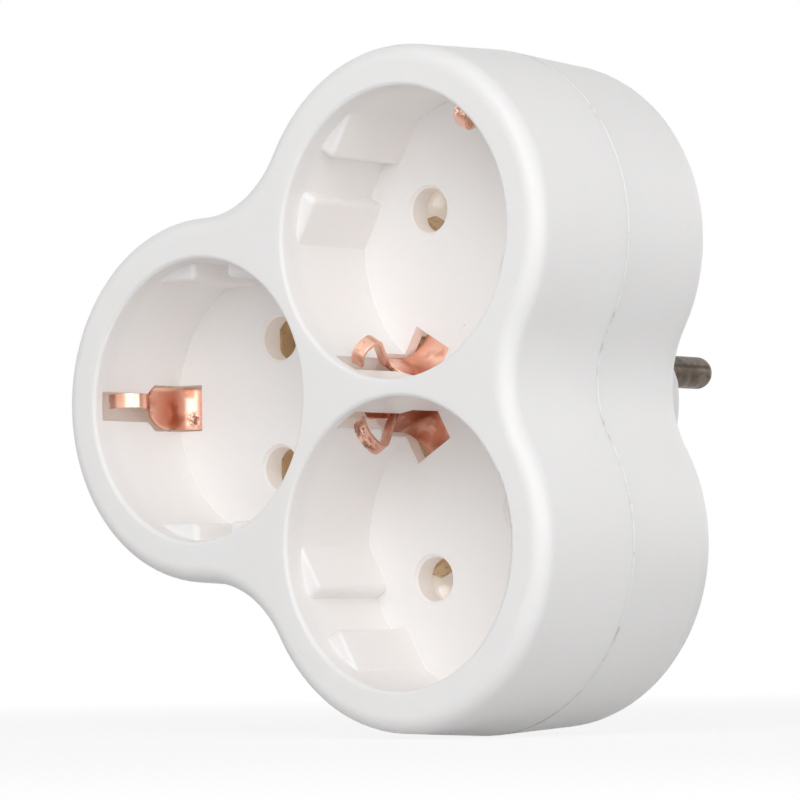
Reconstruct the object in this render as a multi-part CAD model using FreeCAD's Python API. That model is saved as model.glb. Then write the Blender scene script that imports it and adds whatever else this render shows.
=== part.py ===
import FreeCAD, Part
import math
import os

# Three-way socket adapter: three round recessed sockets in a trefoil body, one plug behind.
# Modelled along a depth axis that starts at the front rim plane and points to the plug.
# The finished pieces are turned so that depth runs along +Y, with the origin at the plug face.
# All sizes are in millimetres.

# Pins and socket pattern
PIN_PITCH = 19.0
PIN_R = 2.4
PIN_LENGTH = 19.0
SOCKET_ANGLES = (180.0, 60.0, -60.0)
PLUG_ANGLE = -30.0

# Wells
WELL_R = 20.15
WELL_DEPTH = 17.9
WELL_WEB = 2.4
WELL_LIP = 0.6
CUP_WALL = 1.8
FLOOR = 2.0

# Pin holes in the well floors
HOLE_R = 3.2
HOLE_RING = 0.4
HOLE_RING_DEPTH = 0.5
TUBE_WALL = 1.1
TUBE_LENGTH = 1.5

# Guide ribs at both ends of the pin line
RIB_HEIGHT = 2.75
RIB_GAP = 6.2
RIB_SPAN = 8.4
RIB_START = 3.3
RIB_ROUND = 0.6
RIB_EDGE_ROUND = 0.9

# Trefoil body
RIM = 5.8
FRONT_DRAFT = 0.85
BACK_DRAFT = 1.01
WAIST_R = 16.1
SEAM_DEPTH = 18.7
SHELL = 2.2
FRONT_ROUND = 2.43
BACK_ROUND = 6.2
SEAM_CHAMFER = 0.2

# Tongue and rebate at the seam
TONGUE = 0.9
TONGUE_HEIGHT = 1.5
TONGUE_GAP = 0.1

# Webs between each well and the outer wall
WEB = 1.2
WEB_ANGLE = 52.0

# Plug boss
BOSS_LENGTH = 17.4
BOSS_WALL = 2.0
BOSS_FACE = 3.0
BOSS_ROUND = 2.0
BOSS_FLAT_CUT = 1.9
BOSS_FLAT_START = 1.6
COLLAR_ROOM = 1.6

# Earth spring strips
EARTH_T = 0.5
EARTH_W = 6.2
CLIP_W = 2.1
CLIP_SHIFT = 0.7
CLIP_SWEEP_R = 3.8
CLIP_NECK_R = 1.6
CLIP_CREST_R = 1.4
CLIP_TIP_R = 3.0
CLIP_SET_BACK = 0.45
CLIP_NECK_SHARE = 0.715
CLIP_FOLD_SHARE = 0.637
CLIP_SHOULDER_LOW = 3.9
CLIP_SHOULDER_HIGH = 1.8
CLIP_CREST_REACH = 5.3
CLIP_CREST_SHARE = 0.285
CLIP_CURL = 1.1
CLIP_TIP_SHARE = 0.24
CLIP_TIP_OUT = 0.1
SLOT_GAP = 0.3
SLOT_LENGTH = 4.75
WINDOW_TOP = 1.7
WINDOW_SIDE_GAP = 0.37

# How far each clip has been spread from its full reach: outer and inner clip of each socket
CLIP_SPREAD = ((0.0, 1.3), (2.7, -0.7), (1.8, 1.4))
CLIP_SINK = ((-0.2, 0.0), (0.0, -0.3), (0.0, 1.3))

# Earth link and the strap to the plug's side contacts
LINK_T = 0.8
LINK_W = 6.0
LINK_RIVET_EDGE = 4.8
STRAP_W = 6.0
STRAP_INSET = 2.2
STRAP_FOOT_R = 1.2
STRAP_BEND_R = 4.0
STRAP_BOW_R = 3.0
STRAP_BOW = 1.1
STRAP_BOW_END = 5.5
STRAP_TIP = 1.2
STRAP_BACK_GAP = 0.55
GROOVE_SIDE_GAP = 1.0
GROOVE_START = 2.7

# Contact jaws and bus bars
JAW_T = 0.6
JAW_W = 6.0
JAW_MOUTH = 6.0
JAW_THROAT = 4.4
JAW_BELLY = 6.6
JAW_FLARE = 2.2
JAW_TAPER = 3.0
JAW_START = 0.4
JAW_LENGTH = 10.1
BAR_T = 1.0
BAR_W = 4.4
BAR_STEP = 4.0
PAD_R = 4.2
RIVET_R = 1.1
RIVET_HEAD_R = 1.9
RIVET_HEAD = 0.45
INSULATION = 2.6

# Plug pins
PIN_ROOT_STEP = 0.3
PIN_SHANK_STEP = 0.4
PIN_TAIL_STEP = 1.0
PIN_HEAD = 0.7
PIN_COLLAR_STEP = 1.2
PIN_COLLAR = 1.0
PIN_NOSE = 2.0

# Inner carrier
CARRIER_T = 1.8
CARRIER_GAP = 0.4
POCKET_GAP = 0.2
POCKET_END_GAP = 0.8
POCKET_WALL = 1.1
POST_R = 2.6
KNOB_R = 1.2
KNOB_SET_BACK = 1.5
KNOB_EDGE = 0.15

# Screws
SCREW_EDGE = 4.9
SCREW_R = 1.45
SCREW_LENGTH = 20.0
SCREW_HEAD_R = 2.7
SCREW_HEAD = 1.9
SCREW_SEAT_RISE = 11.3
SCREW_TIP_ROOM = 1.5
SCREW_BOSS_WALL = 1.7
COLUMN_WALL = 1.3
CROSS_W = 0.7
CROSS_DEPTH = 1.1

CLEAR = 0.05
SMALL_GAP = 0.15

# Depths and radii that follow from the sizes above
SOCKET_R = (2 * WELL_R + WELL_WEB) / math.sqrt(3)
LOBE_FRONT = WELL_R + RIM
LOBE_SEAM = LOBE_FRONT + FRONT_DRAFT
LOBE_BACK = LOBE_SEAM - BACK_DRAFT
LOBE_AND_BLEND = LOBE_FRONT + WAIST_R
VALLEY = (SOCKET_R + math.sqrt(4 * LOBE_AND_BLEND ** 2 - 3 * SOCKET_R ** 2)) / 2
SEAM_LOBE_IN = LOBE_SEAM - SHELL
BACK_LOBE_IN = LOBE_BACK - SHELL
HALF_PITCH = PIN_PITCH / 2
PIN_COLLAR_R = PIN_R + PIN_COLLAR_STEP
BOSS_FLAT = HALF_PITCH + PIN_COLLAR_R + COLLAR_ROOM + BOSS_WALL
BOSS_R = BOSS_FLAT + BOSS_FLAT_CUT
RIB_REACH = WELL_R - RIB_HEIGHT
FLOOR_BACK = WELL_DEPTH + FLOOR
TUBE_END = FLOOR_BACK + TUBE_LENGTH
JAW_TOP = TUBE_END + JAW_START
LIVE_BAR_DEPTH = JAW_TOP + JAW_LENGTH
NEUTRAL_BAR_DEPTH = LIVE_BAR_DEPTH + BAR_STEP
CARRIER_FRONT = NEUTRAL_BAR_DEPTH + BAR_T
BACK_INSIDE = CARRIER_FRONT + CARRIER_T
BODY_DEPTH = BACK_INSIDE + SHELL
PLUG_FACE = BODY_DEPTH + BOSS_LENGTH
BOSS_INSIDE = PLUG_FACE - BOSS_FACE
EARTH_MID = FLOOR_BACK + RIVET_HEAD + 2 * CLEAR + EARTH_T / 2
LINK_FRONT = EARTH_MID + EARTH_T / 2
STRAP_FRONT = LINK_FRONT + LINK_T
CLIP_WALL = WELL_R + CLIP_SET_BACK
CLIP_CREST = WELL_R - CLIP_CREST_REACH
CLIP_TIP = CLIP_WALL + CLIP_TIP_OUT
CLIP_CREST_DEPTH = WELL_DEPTH * CLIP_CREST_SHARE
CLIP_TIP_DEPTH = WELL_DEPTH * CLIP_TIP_SHARE
CLIP_NECK_DEPTH = WELL_DEPTH * CLIP_NECK_SHARE
CLIP_FOLD_DEPTH = WELL_DEPTH * CLIP_FOLD_SHARE
SLOT_START = WELL_R - SLOT_LENGTH
LINK_RIVET = CLIP_WALL - CLIP_SWEEP_R - LINK_RIVET_EDGE
STRAP_R = BOSS_R - STRAP_INSET
GROOVE_FLOOR = STRAP_R - EARTH_T / 2 - STRAP_BACK_GAP
GROOVE_W = STRAP_W + 2 * GROOVE_SIDE_GAP
PIN_ROOT_R = PIN_R + PIN_ROOT_STEP
PIN_SHANK_R = PIN_R - PIN_SHANK_STEP
PIN_TAIL_R = PIN_R - PIN_TAIL_STEP
SCREW_CIRCLE = BOSS_R + SCREW_EDGE
SCREW_SEAT = SEAM_DEPTH + SCREW_SEAT_RISE
SCREW_BOSS_R = SCREW_R + CLEAR + SCREW_BOSS_WALL
BORE_HEAD_R = SCREW_HEAD_R + 2 * SMALL_GAP
COLUMN_R = BORE_HEAD_R + COLUMN_WALL


def vec(x, y, z):
    return FreeCAD.Vector(x, y, z)


def polar(radius, angle, z=0.0):
    a = math.radians(angle)
    return vec(radius * math.cos(a), radius * math.sin(a), z)


def at(angle, radial, across=0.0, z=0.0):
    """A point given along a direction in the face plane and across it."""
    return polar(radial, angle, z) + polar(across, angle + 90.0)


def block(x0, x1, y0, y1, z0, z1):
    return Part.makeBox(x1 - x0, y1 - y0, z1 - z0, vec(x0, y0, z0))


def rod(radius, z0, z1, place=None):
    base = place or vec(0, 0, 0)
    return Part.makeCylinder(radius, z1 - z0, vec(base.x, base.y, z0))


def turned(shape, angle):
    """The shape rotated about the depth axis."""
    copy = shape.copy()
    copy.rotate(vec(0, 0, 0), vec(0, 0, 1), angle)
    return copy


def seated(shape, angle):
    """The shape moved from the axis to one of the sockets, +X pointing outwards."""
    copy = turned(shape, angle)
    copy.translate(polar(SOCKET_R, angle))
    return copy


def fused(shapes):
    whole = shapes[0]
    if len(shapes) > 1:
        whole = shapes[0].multiFuse(shapes[1:])
    return whole.removeSplitter()


def trefoil(lobe_r, z):
    """Outline of three equal lobes joined by tangent hollow arcs."""
    blend_r = LOBE_AND_BLEND - lobe_r
    edges = []
    for angle in SOCKET_ANGLES:
        lobe = polar(SOCKET_R, angle, z)
        valley_before = polar(VALLEY, angle - 60.0, z)
        valley_after = polar(VALLEY, angle + 60.0, z)
        start = lobe + (valley_before - lobe) * (lobe_r / LOBE_AND_BLEND)
        end = lobe + (valley_after - lobe) * (lobe_r / LOBE_AND_BLEND)
        crest = polar(SOCKET_R + lobe_r, angle, z)
        edges.append(Part.Arc(start, crest, end).toShape())
        next_lobe = polar(SOCKET_R, angle + 120.0, z)
        landing = next_lobe + (valley_after - next_lobe) * (lobe_r / LOBE_AND_BLEND)
        waist = polar(VALLEY - blend_r, angle + 60.0, z)
        edges.append(Part.Arc(end, waist, landing).toShape())
    return Part.Wire(Part.__sortEdges__(edges))


def tapered_body(r0, z0, r1, z1):
    """Trefoil prism whose lobe radius changes evenly along the depth."""
    return Part.makeLoft([trefoil(r0, z0), trefoil(r1, z1)], True, True)


def straight_body(radius, z0, z1):
    return Part.Face(trefoil(radius, z0)).extrude(vec(0, 0, z1 - z0))


def edges_at(shape, z):
    """Edges that lie in the plane at one depth."""
    found = []
    for edge in shape.Edges:
        box = edge.BoundBox
        if abs(box.ZMin - z) < 1e-4 and abs(box.ZMax - z) < 1e-4:
            found.append(edge)
    return found


def rounded_path(points, radii):
    """Open path with tangent arcs at its inner corners."""
    edges = []
    start = points[0]
    for i, radius in enumerate(radii):
        corner = points[i + 1]
        back = (points[i] - corner).normalize()
        ahead = (points[i + 2] - corner).normalize()
        half = back.getAngle(ahead) / 2
        first = corner + back * (radius / math.tan(half))
        last = corner + ahead * (radius / math.tan(half))
        inward = (back + ahead).normalize()
        middle = corner + inward * (radius / math.sin(half) - radius)
        edges.append(Part.LineSegment(start, first).toShape())
        edges.append(Part.Arc(first, middle, last).toShape())
        start = last
    edges.append(Part.LineSegment(start, points[-1]).toShape())
    return edges


def shifted_path(points, radii, shift):
    """The same path moved sideways in the X-Z plane, with its arcs kept concentric."""
    normals = []
    for a, b in zip(points, points[1:]):
        run = (b - a).normalize()
        normals.append(vec(-run.z, 0, run.x))
    moved = [points[0] + normals[0] * shift]
    new_radii = []
    for i, radius in enumerate(radii):
        n0 = normals[i]
        n1 = normals[i + 1]
        mitre = (n0 + n1) * (shift / (1 + n0.dot(n1)))
        moved.append(points[i + 1] + mitre)
        side = n0.cross(n1).y
        new_radii.append(radius + shift * (1 if side > 0 else -1))
    moved.append(points[-1] + normals[-1] * shift)
    return moved, new_radii


def bent_strip(points, radii, thickness, width):
    """Sheet-metal strip: a bent centre line in the X-Z plane, centred across Y."""
    left = rounded_path(*shifted_path(points, radii, thickness / 2))
    right = rounded_path(*shifted_path(points, radii, -thickness / 2))
    start_cap = Part.LineSegment(left[0].Vertexes[0].Point, right[0].Vertexes[0].Point).toShape()
    end_cap = Part.LineSegment(left[-1].Vertexes[-1].Point, right[-1].Vertexes[-1].Point).toShape()
    wire = Part.Wire(Part.__sortEdges__(left + right + [start_cap, end_cap]))
    strip = Part.Face(wire).extrude(vec(0, width, 0))
    strip.translate(vec(0, -width / 2, 0))
    return strip


def plate_along(points, width, z0, z1):
    """Flat plate that follows a route in the face plane with round corners and ends."""
    pieces = []
    for a, b in zip(points, points[1:]):
        run = b - a
        bar = block(0, run.Length, -width / 2, width / 2, z0, z1)
        bar.rotate(vec(0, 0, 0), vec(0, 0, 1), math.degrees(math.atan2(run.y, run.x)))
        bar.translate(a)
        pieces.append(bar)
        pieces.append(rod(width / 2, z0, z1, b))
    return pieces


def pole_points(side):
    """Centres of the pin holes that one pole serves."""
    return [at(angle, SOCKET_R, side * HALF_PITCH) for angle in SOCKET_ANGLES]


# ---- front housing


def guide_ribs():
    """Two pairs of ribs with a channel between them, one pair at each end of the pin line."""
    core = rod(WELL_R + CUP_WALL / 3, RIB_START, WELL_DEPTH + FLOOR / 2)
    ribs = []
    for end in (1, -1):
        for side in (1, -1):
            rib = block(0, RIB_SPAN, 0, WELL_R - RIB_REACH + CUP_WALL, RIB_START, WELL_DEPTH + FLOOR / 2)
            rib.translate(vec(RIB_GAP / 2, RIB_REACH, 0))
            if side < 0:
                rib = rib.mirror(vec(0, 0, 0), vec(1, 0, 0))
            if end < 0:
                rib = rib.mirror(vec(0, 0, 0), vec(0, 1, 0))
            nose = [e for e in edges_at(rib, RIB_START) if abs(abs(e.BoundBox.Center.y) - RIB_REACH) < 1e-6]
            rib = rib.makeFillet(RIB_ROUND, nose)
            sides = [e for e in rib.Edges if e.BoundBox.ZLength > WELL_DEPTH / 2 and abs(e.BoundBox.Center.y) < RIB_REACH + RIB_ROUND]
            ribs.append(rib.makeFillet(RIB_EDGE_ROUND, sides).common(core))
    return ribs


def clip_window(recess):
    """Cut for one earth clip: narrow above, wide below, and a slot in the floor."""
    neck = CLIP_SHIFT + CLIP_W / 2 + WINDOW_SIDE_GAP
    wide = EARTH_W / 2 + SLOT_GAP
    shoulder = CLIP_NECK_DEPTH - SLOT_GAP
    half = [(neck, WINDOW_TOP), (neck, shoulder - (wide - neck)), (wide, shoulder), (wide, FLOOR_BACK + 1)]
    outline = [vec(0, y, z) for y, z in half] + [vec(0, -y, z) for y, z in reversed(half)]
    wire = Part.makePolygon(outline + [outline[0]])
    window = Part.Face(wire).extrude(vec(recess - SLOT_START, 0, 0))
    window.translate(vec(SLOT_START, 0, 0))
    return window


def socket_cuts():
    """Everything that is taken out of the housing at one socket."""
    cuts = [rod(WELL_R, -1, WELL_DEPTH)]
    cuts.append(clip_window(WELL_R + CUP_WALL + SMALL_GAP))
    cuts.append(clip_window(SOCKET_R).mirror(vec(0, 0, 0), vec(1, 0, 0)))
    return cuts


def pin_hole_cuts():
    cuts = []
    for side in (1, -1):
        place = vec(0, side * HALF_PITCH, 0)
        cuts.append(rod(HOLE_R, WELL_DEPTH - 1, TUBE_END + 1, place))
        ring = Part.makeCone(HOLE_R + HOLE_RING, HOLE_R, HOLE_RING_DEPTH, vec(0, place.y, WELL_DEPTH))
        cuts.append(ring)
    return cuts


def front_housing():
    """Front half of the moulded body with its three wells."""
    body = tapered_body(LOBE_FRONT, 0, LOBE_SEAM, SEAM_DEPTH)
    body = body.makeFillet(FRONT_ROUND, edges_at(body, 0))
    body = body.makeChamfer(SEAM_CHAMFER, edges_at(body, SEAM_DEPTH))
    inner_front = LOBE_FRONT - SHELL
    body = body.cut(tapered_body(inner_front, SHELL, SEAM_LOBE_IN, SEAM_DEPTH))
    tongue = straight_body(SEAM_LOBE_IN + TONGUE, SEAM_DEPTH, SEAM_DEPTH + TONGUE_HEIGHT)
    tongue = tongue.cut(straight_body(SEAM_LOBE_IN, SEAM_DEPTH, SEAM_DEPTH + TONGUE_HEIGHT))
    solids = [tongue]
    cuts = []
    for angle in SOCKET_ANGLES:
        solids.append(seated(rod(WELL_R + CUP_WALL, SHELL / 2, FLOOR_BACK), angle))
        for side in (1, -1):
            tube = rod(HOLE_R + TUBE_WALL, WELL_DEPTH + FLOOR / 2, TUBE_END, vec(0, side * HALF_PITCH, 0))
            solids.append(seated(tube, angle))
            web = block(WELL_R + CUP_WALL / 2, SEAM_LOBE_IN + SHELL / 4, -WEB / 2, WEB / 2, SHELL / 2, SEAM_DEPTH - 1)
            solids.append(seated(turned(web, side * WEB_ANGLE), angle))
        cuts += [seated(cut, angle) for cut in socket_cuts()]
        place = polar(SCREW_CIRCLE, angle + 60.0)
        solids.append(rod(SCREW_BOSS_R, SHELL / 2, SEAM_DEPTH, place))
        cuts.append(rod(SCREW_R + CLEAR, SCREW_SEAT - SCREW_LENGTH - SCREW_TIP_ROOM, SEAM_DEPTH + 1, place))
    housing = fused([body] + solids)
    housing = housing.cut(Part.makeCompound(cuts[:1]).multiFuse(cuts[1:]))
    ribs = []
    for angle in SOCKET_ANGLES:
        ribs += [seated(rib, angle) for rib in guide_ribs()]
    housing = fused([housing] + ribs)
    for angle in SOCKET_ANGLES:
        for cut in pin_hole_cuts():
            housing = housing.cut(seated(cut, angle))
    mouths = [e for e in edges_at(housing, 0) if abs(e.Length - 2 * math.pi * WELL_R) < 0.01]
    return housing.makeFillet(WELL_LIP, mouths)


# ---- rear cover and plug


def boss_profile(z0, z1, radius, flat, groove):
    """Round boss with two flats at the ends of the pin line and two earth grooves across it."""
    solid = rod(radius, z0, z1)
    for side in (1, -1):
        low = BODY_DEPTH + BOSS_FLAT_START
        edge = block(flat, radius + 1, -radius, radius, low, z1 + 1)
        solid = solid.cut(turned(edge, 0 if side > 0 else 180))
        slot = block(-GROOVE_W / 2, GROOVE_W / 2, groove, radius + 1, BODY_DEPTH + GROOVE_START, z1 + 1)
        solid = solid.cut(turned(slot, 0 if side > 0 else 180))
    return solid


def boss_cavity():
    """Room inside the boss, which follows its flats and grooves at one wall's distance."""
    room = rod(BOSS_R - BOSS_WALL, BACK_INSIDE - 1, BOSS_INSIDE)
    flat = BOSS_FLAT - BOSS_WALL
    groove = GROOVE_FLOOR - BOSS_WALL
    return room.common(block(-flat, flat, -groove, groove, BACK_INSIDE - 1, BOSS_INSIDE))


def screw_columns():
    solids = []
    cuts = []
    for angle in SOCKET_ANGLES:
        place = polar(SCREW_CIRCLE, angle + 60.0)
        solids.append(rod(COLUMN_R, SEAM_DEPTH, BODY_DEPTH - SHELL / 2, place))
        cuts.append(rod(SCREW_R + SMALL_GAP, SEAM_DEPTH - 1, SCREW_SEAT + 1, place))
        cuts.append(rod(BORE_HEAD_R, SCREW_SEAT, BODY_DEPTH + 1, place))
        cup = rod(WELL_R + CUP_WALL + SMALL_GAP, 0, FLOOR_BACK + SMALL_GAP)
        cuts.append(seated(cup, angle))
    return solids, cuts


def rear_cover():
    """Rear half of the moulded body with the plug boss."""
    body = tapered_body(LOBE_SEAM, SEAM_DEPTH, LOBE_BACK, BODY_DEPTH)
    body = body.makeFillet(BACK_ROUND, edges_at(body, BODY_DEPTH))
    body = body.makeChamfer(SEAM_CHAMFER, edges_at(body, SEAM_DEPTH))
    room = tapered_body(SEAM_LOBE_IN, SEAM_DEPTH, BACK_LOBE_IN, BACK_INSIDE)
    room = room.makeFillet(BACK_ROUND - SHELL, edges_at(room, BACK_INSIDE))
    rebate_end = SEAM_DEPTH + TONGUE_HEIGHT + 2 * SMALL_GAP
    rebate = straight_body(SEAM_LOBE_IN + TONGUE + TONGUE_GAP, SEAM_DEPTH - 1, rebate_end)
    body = body.cut(room).cut(rebate)
    boss = rod(BOSS_R, BODY_DEPTH - SHELL, PLUG_FACE)
    boss = boss.makeFillet(BOSS_ROUND, edges_at(boss, PLUG_FACE))
    boss = boss.common(boss_profile(BODY_DEPTH - SHELL, PLUG_FACE, BOSS_R, BOSS_FLAT, GROOVE_FLOOR))
    columns, cuts = screw_columns()
    cover = fused([body, turned(boss, PLUG_ANGLE)] + columns)
    cuts.append(turned(boss_cavity(), PLUG_ANGLE))
    for side in (1, -1):
        place = at(PLUG_ANGLE, side * HALF_PITCH)
        cuts.append(rod(PIN_ROOT_R + CLEAR, BOSS_INSIDE - 1, PLUG_FACE + 1, place))
        slot_w = STRAP_W / 2 + 2 * SMALL_GAP
        low = STRAP_R - EARTH_T / 2 - 2 * SMALL_GAP
        high = STRAP_R + EARTH_T / 2 + 2 * SMALL_GAP
        slot = block(-slot_w, slot_w, low, high, BACK_INSIDE - 1, BODY_DEPTH + GROOVE_START + 1)
        cuts.append(turned(slot, PLUG_ANGLE + (0 if side > 0 else 180)))
    for cut in cuts:
        cover = cover.cut(cut)
    return cover


def plug_pin(bar_depth):
    """Solid round pin with a collar inside the boss and a tail peened over the bus bar."""
    tip = PLUG_FACE + PIN_LENGTH
    shoulder = bar_depth + BAR_T
    collar = BOSS_INSIDE - PIN_COLLAR
    outline = [
        (0, bar_depth - PIN_HEAD),
        (PIN_SHANK_R, bar_depth - PIN_HEAD),
        (PIN_SHANK_R, bar_depth),
        (PIN_TAIL_R, bar_depth),
        (PIN_TAIL_R, shoulder),
        (PIN_SHANK_R, shoulder),
        (PIN_SHANK_R, collar),
        (PIN_COLLAR_R, collar),
        (PIN_COLLAR_R, BOSS_INSIDE),
        (PIN_ROOT_R, BOSS_INSIDE),
        (PIN_ROOT_R, PLUG_FACE),
        (PIN_R, PLUG_FACE),
        (PIN_R, tip),
        (0, tip),
        (0, bar_depth - PIN_HEAD),
    ]
    face = Part.Face(Part.makePolygon([vec(x, 0, z) for x, z in outline]))
    pin = face.revolve(vec(0, 0, 0), vec(0, 0, 1), 360)
    return pin.makeFillet(PIN_NOSE, edges_at(pin, tip))


# ---- earth parts


def clip_path(spread, sink):
    """Centre line of one side of the strip: under the floor, up the wall, over the crest."""
    crest = CLIP_CREST + spread
    share = min(1.0, (CLIP_TIP - crest) / (CLIP_TIP - CLIP_CREST))
    points = [
        vec(0, 0, EARTH_MID),
        vec(CLIP_WALL, 0, EARTH_MID),
        vec(CLIP_WALL, 0, CLIP_FOLD_DEPTH),
        vec(crest, 0, CLIP_CREST_DEPTH + sink),
        vec((crest + CLIP_TIP) / 2, 0, CLIP_TIP_DEPTH + sink - CLIP_CURL),
        vec(CLIP_TIP, 0, CLIP_TIP_DEPTH + sink),
    ]
    return points, [CLIP_SWEEP_R, CLIP_NECK_R, CLIP_CREST_R * share, CLIP_TIP_R * share * share]


def neck_cut():
    """Waste beside the tongue, which leaves rounded shoulders on the wide part."""
    low = CLIP_SHIFT - CLIP_W / 2
    high = CLIP_SHIFT + CLIP_W / 2
    reach = CLIP_WALL + 2
    wastes = []
    for edge, side, length in ((low, -1, CLIP_SHOULDER_LOW), (high, 1, CLIP_SHOULDER_HIGH)):
        room = EARTH_W / 2 - abs(edge)
        full = CLIP_FOLD_DEPTH + length
        waste = block(0, reach, 0, EARTH_W, -1, full)
        ellipse = Part.Ellipse(vec(0, 0, full + length), vec(0, room, full), vec(0, 0, full))
        shoulder = Part.Face(Part.Wire(ellipse.toShape())).extrude(vec(reach, 0, 0))
        waste = waste.cut(shoulder)
        if side < 0:
            waste = waste.mirror(vec(0, 0, 0), vec(0, 1, 0))
        waste.translate(vec(0, edge, 0))
        wastes.append(waste)
    return wastes


def clip_arm(spread, sink):
    arm = bent_strip(*clip_path(spread, sink), EARTH_T, EARTH_W)
    for waste in neck_cut():
        arm = arm.cut(waste)
    return arm


def earth_strip(spreads, sinks):
    """One stamped strip under a well floor with a sprung clip at each side of the well."""
    outer = clip_arm(spreads[0], sinks[0])
    inner = clip_arm(spreads[1], sinks[1])
    strip = fused([outer, turned(inner, 180)])
    return strip.cut(rod(RIVET_R + CLEAR, FLOOR_BACK, STRAP_FRONT, vec(-LINK_RIVET, 0, 0)))


def link_points():
    return [at(angle, SOCKET_R - LINK_RIVET) for angle in SOCKET_ANGLES]


def earth_link():
    """Three-armed plate that joins the strips."""
    pieces = []
    for point in link_points():
        pieces += plate_along([vec(0, 0, 0), point], LINK_W, LINK_FRONT, STRAP_FRONT)
    link = fused(pieces)
    for point in link_points() + [vec(0, 0, 0)]:
        link = link.cut(rod(RIVET_R + CLEAR, LINK_FRONT - 1, STRAP_FRONT + 1, point))
    return link


def plug_earth_strap():
    """U-shaped strap from the link to the side contacts of the plug."""
    mid = STRAP_FRONT + EARTH_T / 2
    bow = STRAP_R + STRAP_BOW
    points = [
        vec(0, 0, mid),
        vec(STRAP_R, 0, mid),
        vec(STRAP_R, 0, BODY_DEPTH + GROOVE_START + STRAP_TIP),
        vec(bow, 0, PLUG_FACE - BOSS_LENGTH / 2),
        vec(bow, 0, PLUG_FACE - STRAP_BOW_END),
        vec(STRAP_R, 0, PLUG_FACE - STRAP_TIP),
    ]
    bends = [STRAP_FOOT_R, STRAP_BEND_R, STRAP_BEND_R, STRAP_BOW_R]
    arm = bent_strip(points, bends, EARTH_T, STRAP_W)
    strap = fused([arm, turned(arm, 180)])
    strap = strap.cut(rod(RIVET_R + CLEAR, STRAP_FRONT - 1, STRAP_FRONT + 1))
    strap = strap.cut(rod(RIVET_R + CLEAR, STRAP_FRONT - 1, STRAP_FRONT + 1, vec(SOCKET_R - LINK_RIVET, 0, 0)))
    return turned(strap, PLUG_ANGLE + 90)


def rivet(place, front, back):
    """Round rivet with a head on both sides of a stack."""
    shank = rod(RIVET_R, front, back, place)
    near = rod(RIVET_HEAD_R, front - RIVET_HEAD, front, place)
    far = rod(RIVET_HEAD_R, back, back + RIVET_HEAD, place)
    return fused([shank, near, far])


def earth_rivets():
    solids = []
    for angle, point in zip(SOCKET_ANGLES, link_points()):
        under_strap = abs(angle - PLUG_ANGLE - 90) < 1
        back = STRAP_FRONT + (EARTH_T if under_strap else 0)
        solids.append(rivet(point, LINK_FRONT - EARTH_T, back))
    solids.append(rivet(vec(0, 0, 0), LINK_FRONT, STRAP_FRONT + EARTH_T))
    return Part.makeCompound(solids)


# ---- live and neutral parts


def jaw(bar_depth):
    """Folded spring jaw with two leaves, a throat and a flared mouth."""
    base = bar_depth - JAW_T / 2
    half = [
        (JAW_MOUTH / 2, JAW_TOP),
        (JAW_THROAT / 2, JAW_TOP + JAW_FLARE),
        (JAW_BELLY / 2, JAW_TOP + JAW_FLARE + JAW_TAPER),
        (JAW_BELLY / 2, base),
    ]
    points = [vec(-x, 0, z) for x, z in half] + [vec(x, 0, z) for x, z in reversed(half)]
    folded = bent_strip(points, [1.0, 1.0, 0.7, 0.7, 1.0, 1.0], JAW_T, JAW_W)
    return folded.cut(rod(RIVET_R + CLEAR, bar_depth - 2 * JAW_T, bar_depth + 1))


def strap_side(across):
    """Way points that carry a bus bar round the strap's leg."""
    reach = STRAP_W / 2 + BAR_W / 2 + INSULATION
    inner = at(PLUG_ANGLE + 90, STRAP_R - reach, across * reach)
    outer = at(PLUG_ANGLE + 90, STRAP_R, across * reach)
    return inner, outer


def bus_bar(side, depth):
    """Stamped bar that joins three jaws to one plug pin."""
    pin = at(PLUG_ANGLE, side * HALF_PITCH)
    pads = pole_points(side)
    inner, outer = strap_side(side)
    routes = [[pin, pads[0]], [pin, inner, outer, pads[1]], [pin, pads[2]]]
    if side < 0:
        routes[1] = [pin, inner, pads[1]]
    pieces = [rod(PAD_R, depth, depth + BAR_T, pin)]
    for route in routes:
        pieces += plate_along(route, BAR_W, depth, depth + BAR_T)
    for pad in pads:
        pieces.append(rod(PAD_R, depth, depth + BAR_T, pad))
    bar = fused(pieces)
    for pad in pads:
        bar = bar.cut(rod(RIVET_R + CLEAR, depth - 1, depth + 2, pad))
    return bar.cut(rod(PIN_TAIL_R + CLEAR, depth - 1, depth + 2, pin))


def jaw_rivets(side, depth):
    return Part.makeCompound([rivet(pad, depth - JAW_T, depth + BAR_T) for pad in pole_points(side)])


# ---- carrier and screws


def pocket(side):
    """Square tower round one jaw, with a round-ended guide knob at both ends of the jaw."""
    wide = (JAW_BELLY + JAW_T) / 2 + POCKET_GAP
    deep = JAW_W / 2 + POCKET_END_GAP
    wall = POCKET_WALL
    tower = block(-wide - wall, wide + wall, -deep - wall, deep + wall, JAW_TOP, CARRIER_FRONT)
    tower = tower.cut(block(-wide, wide, -deep, deep, JAW_TOP - 1, CARRIER_FRONT))
    for end in (1, -1):
        place = vec(0, end * (PIN_R + KNOB_EDGE + KNOB_R), 0)
        knob = rod(KNOB_R, JAW_TOP + KNOB_SET_BACK, CARRIER_FRONT, place)
        tip = edges_at(knob, JAW_TOP + KNOB_SET_BACK)
        tower = tower.fuse(knob.makeFillet(KNOB_R * 0.9, tip))
    tower.translate(vec(0, side * HALF_PITCH, 0))
    return tower


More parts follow.
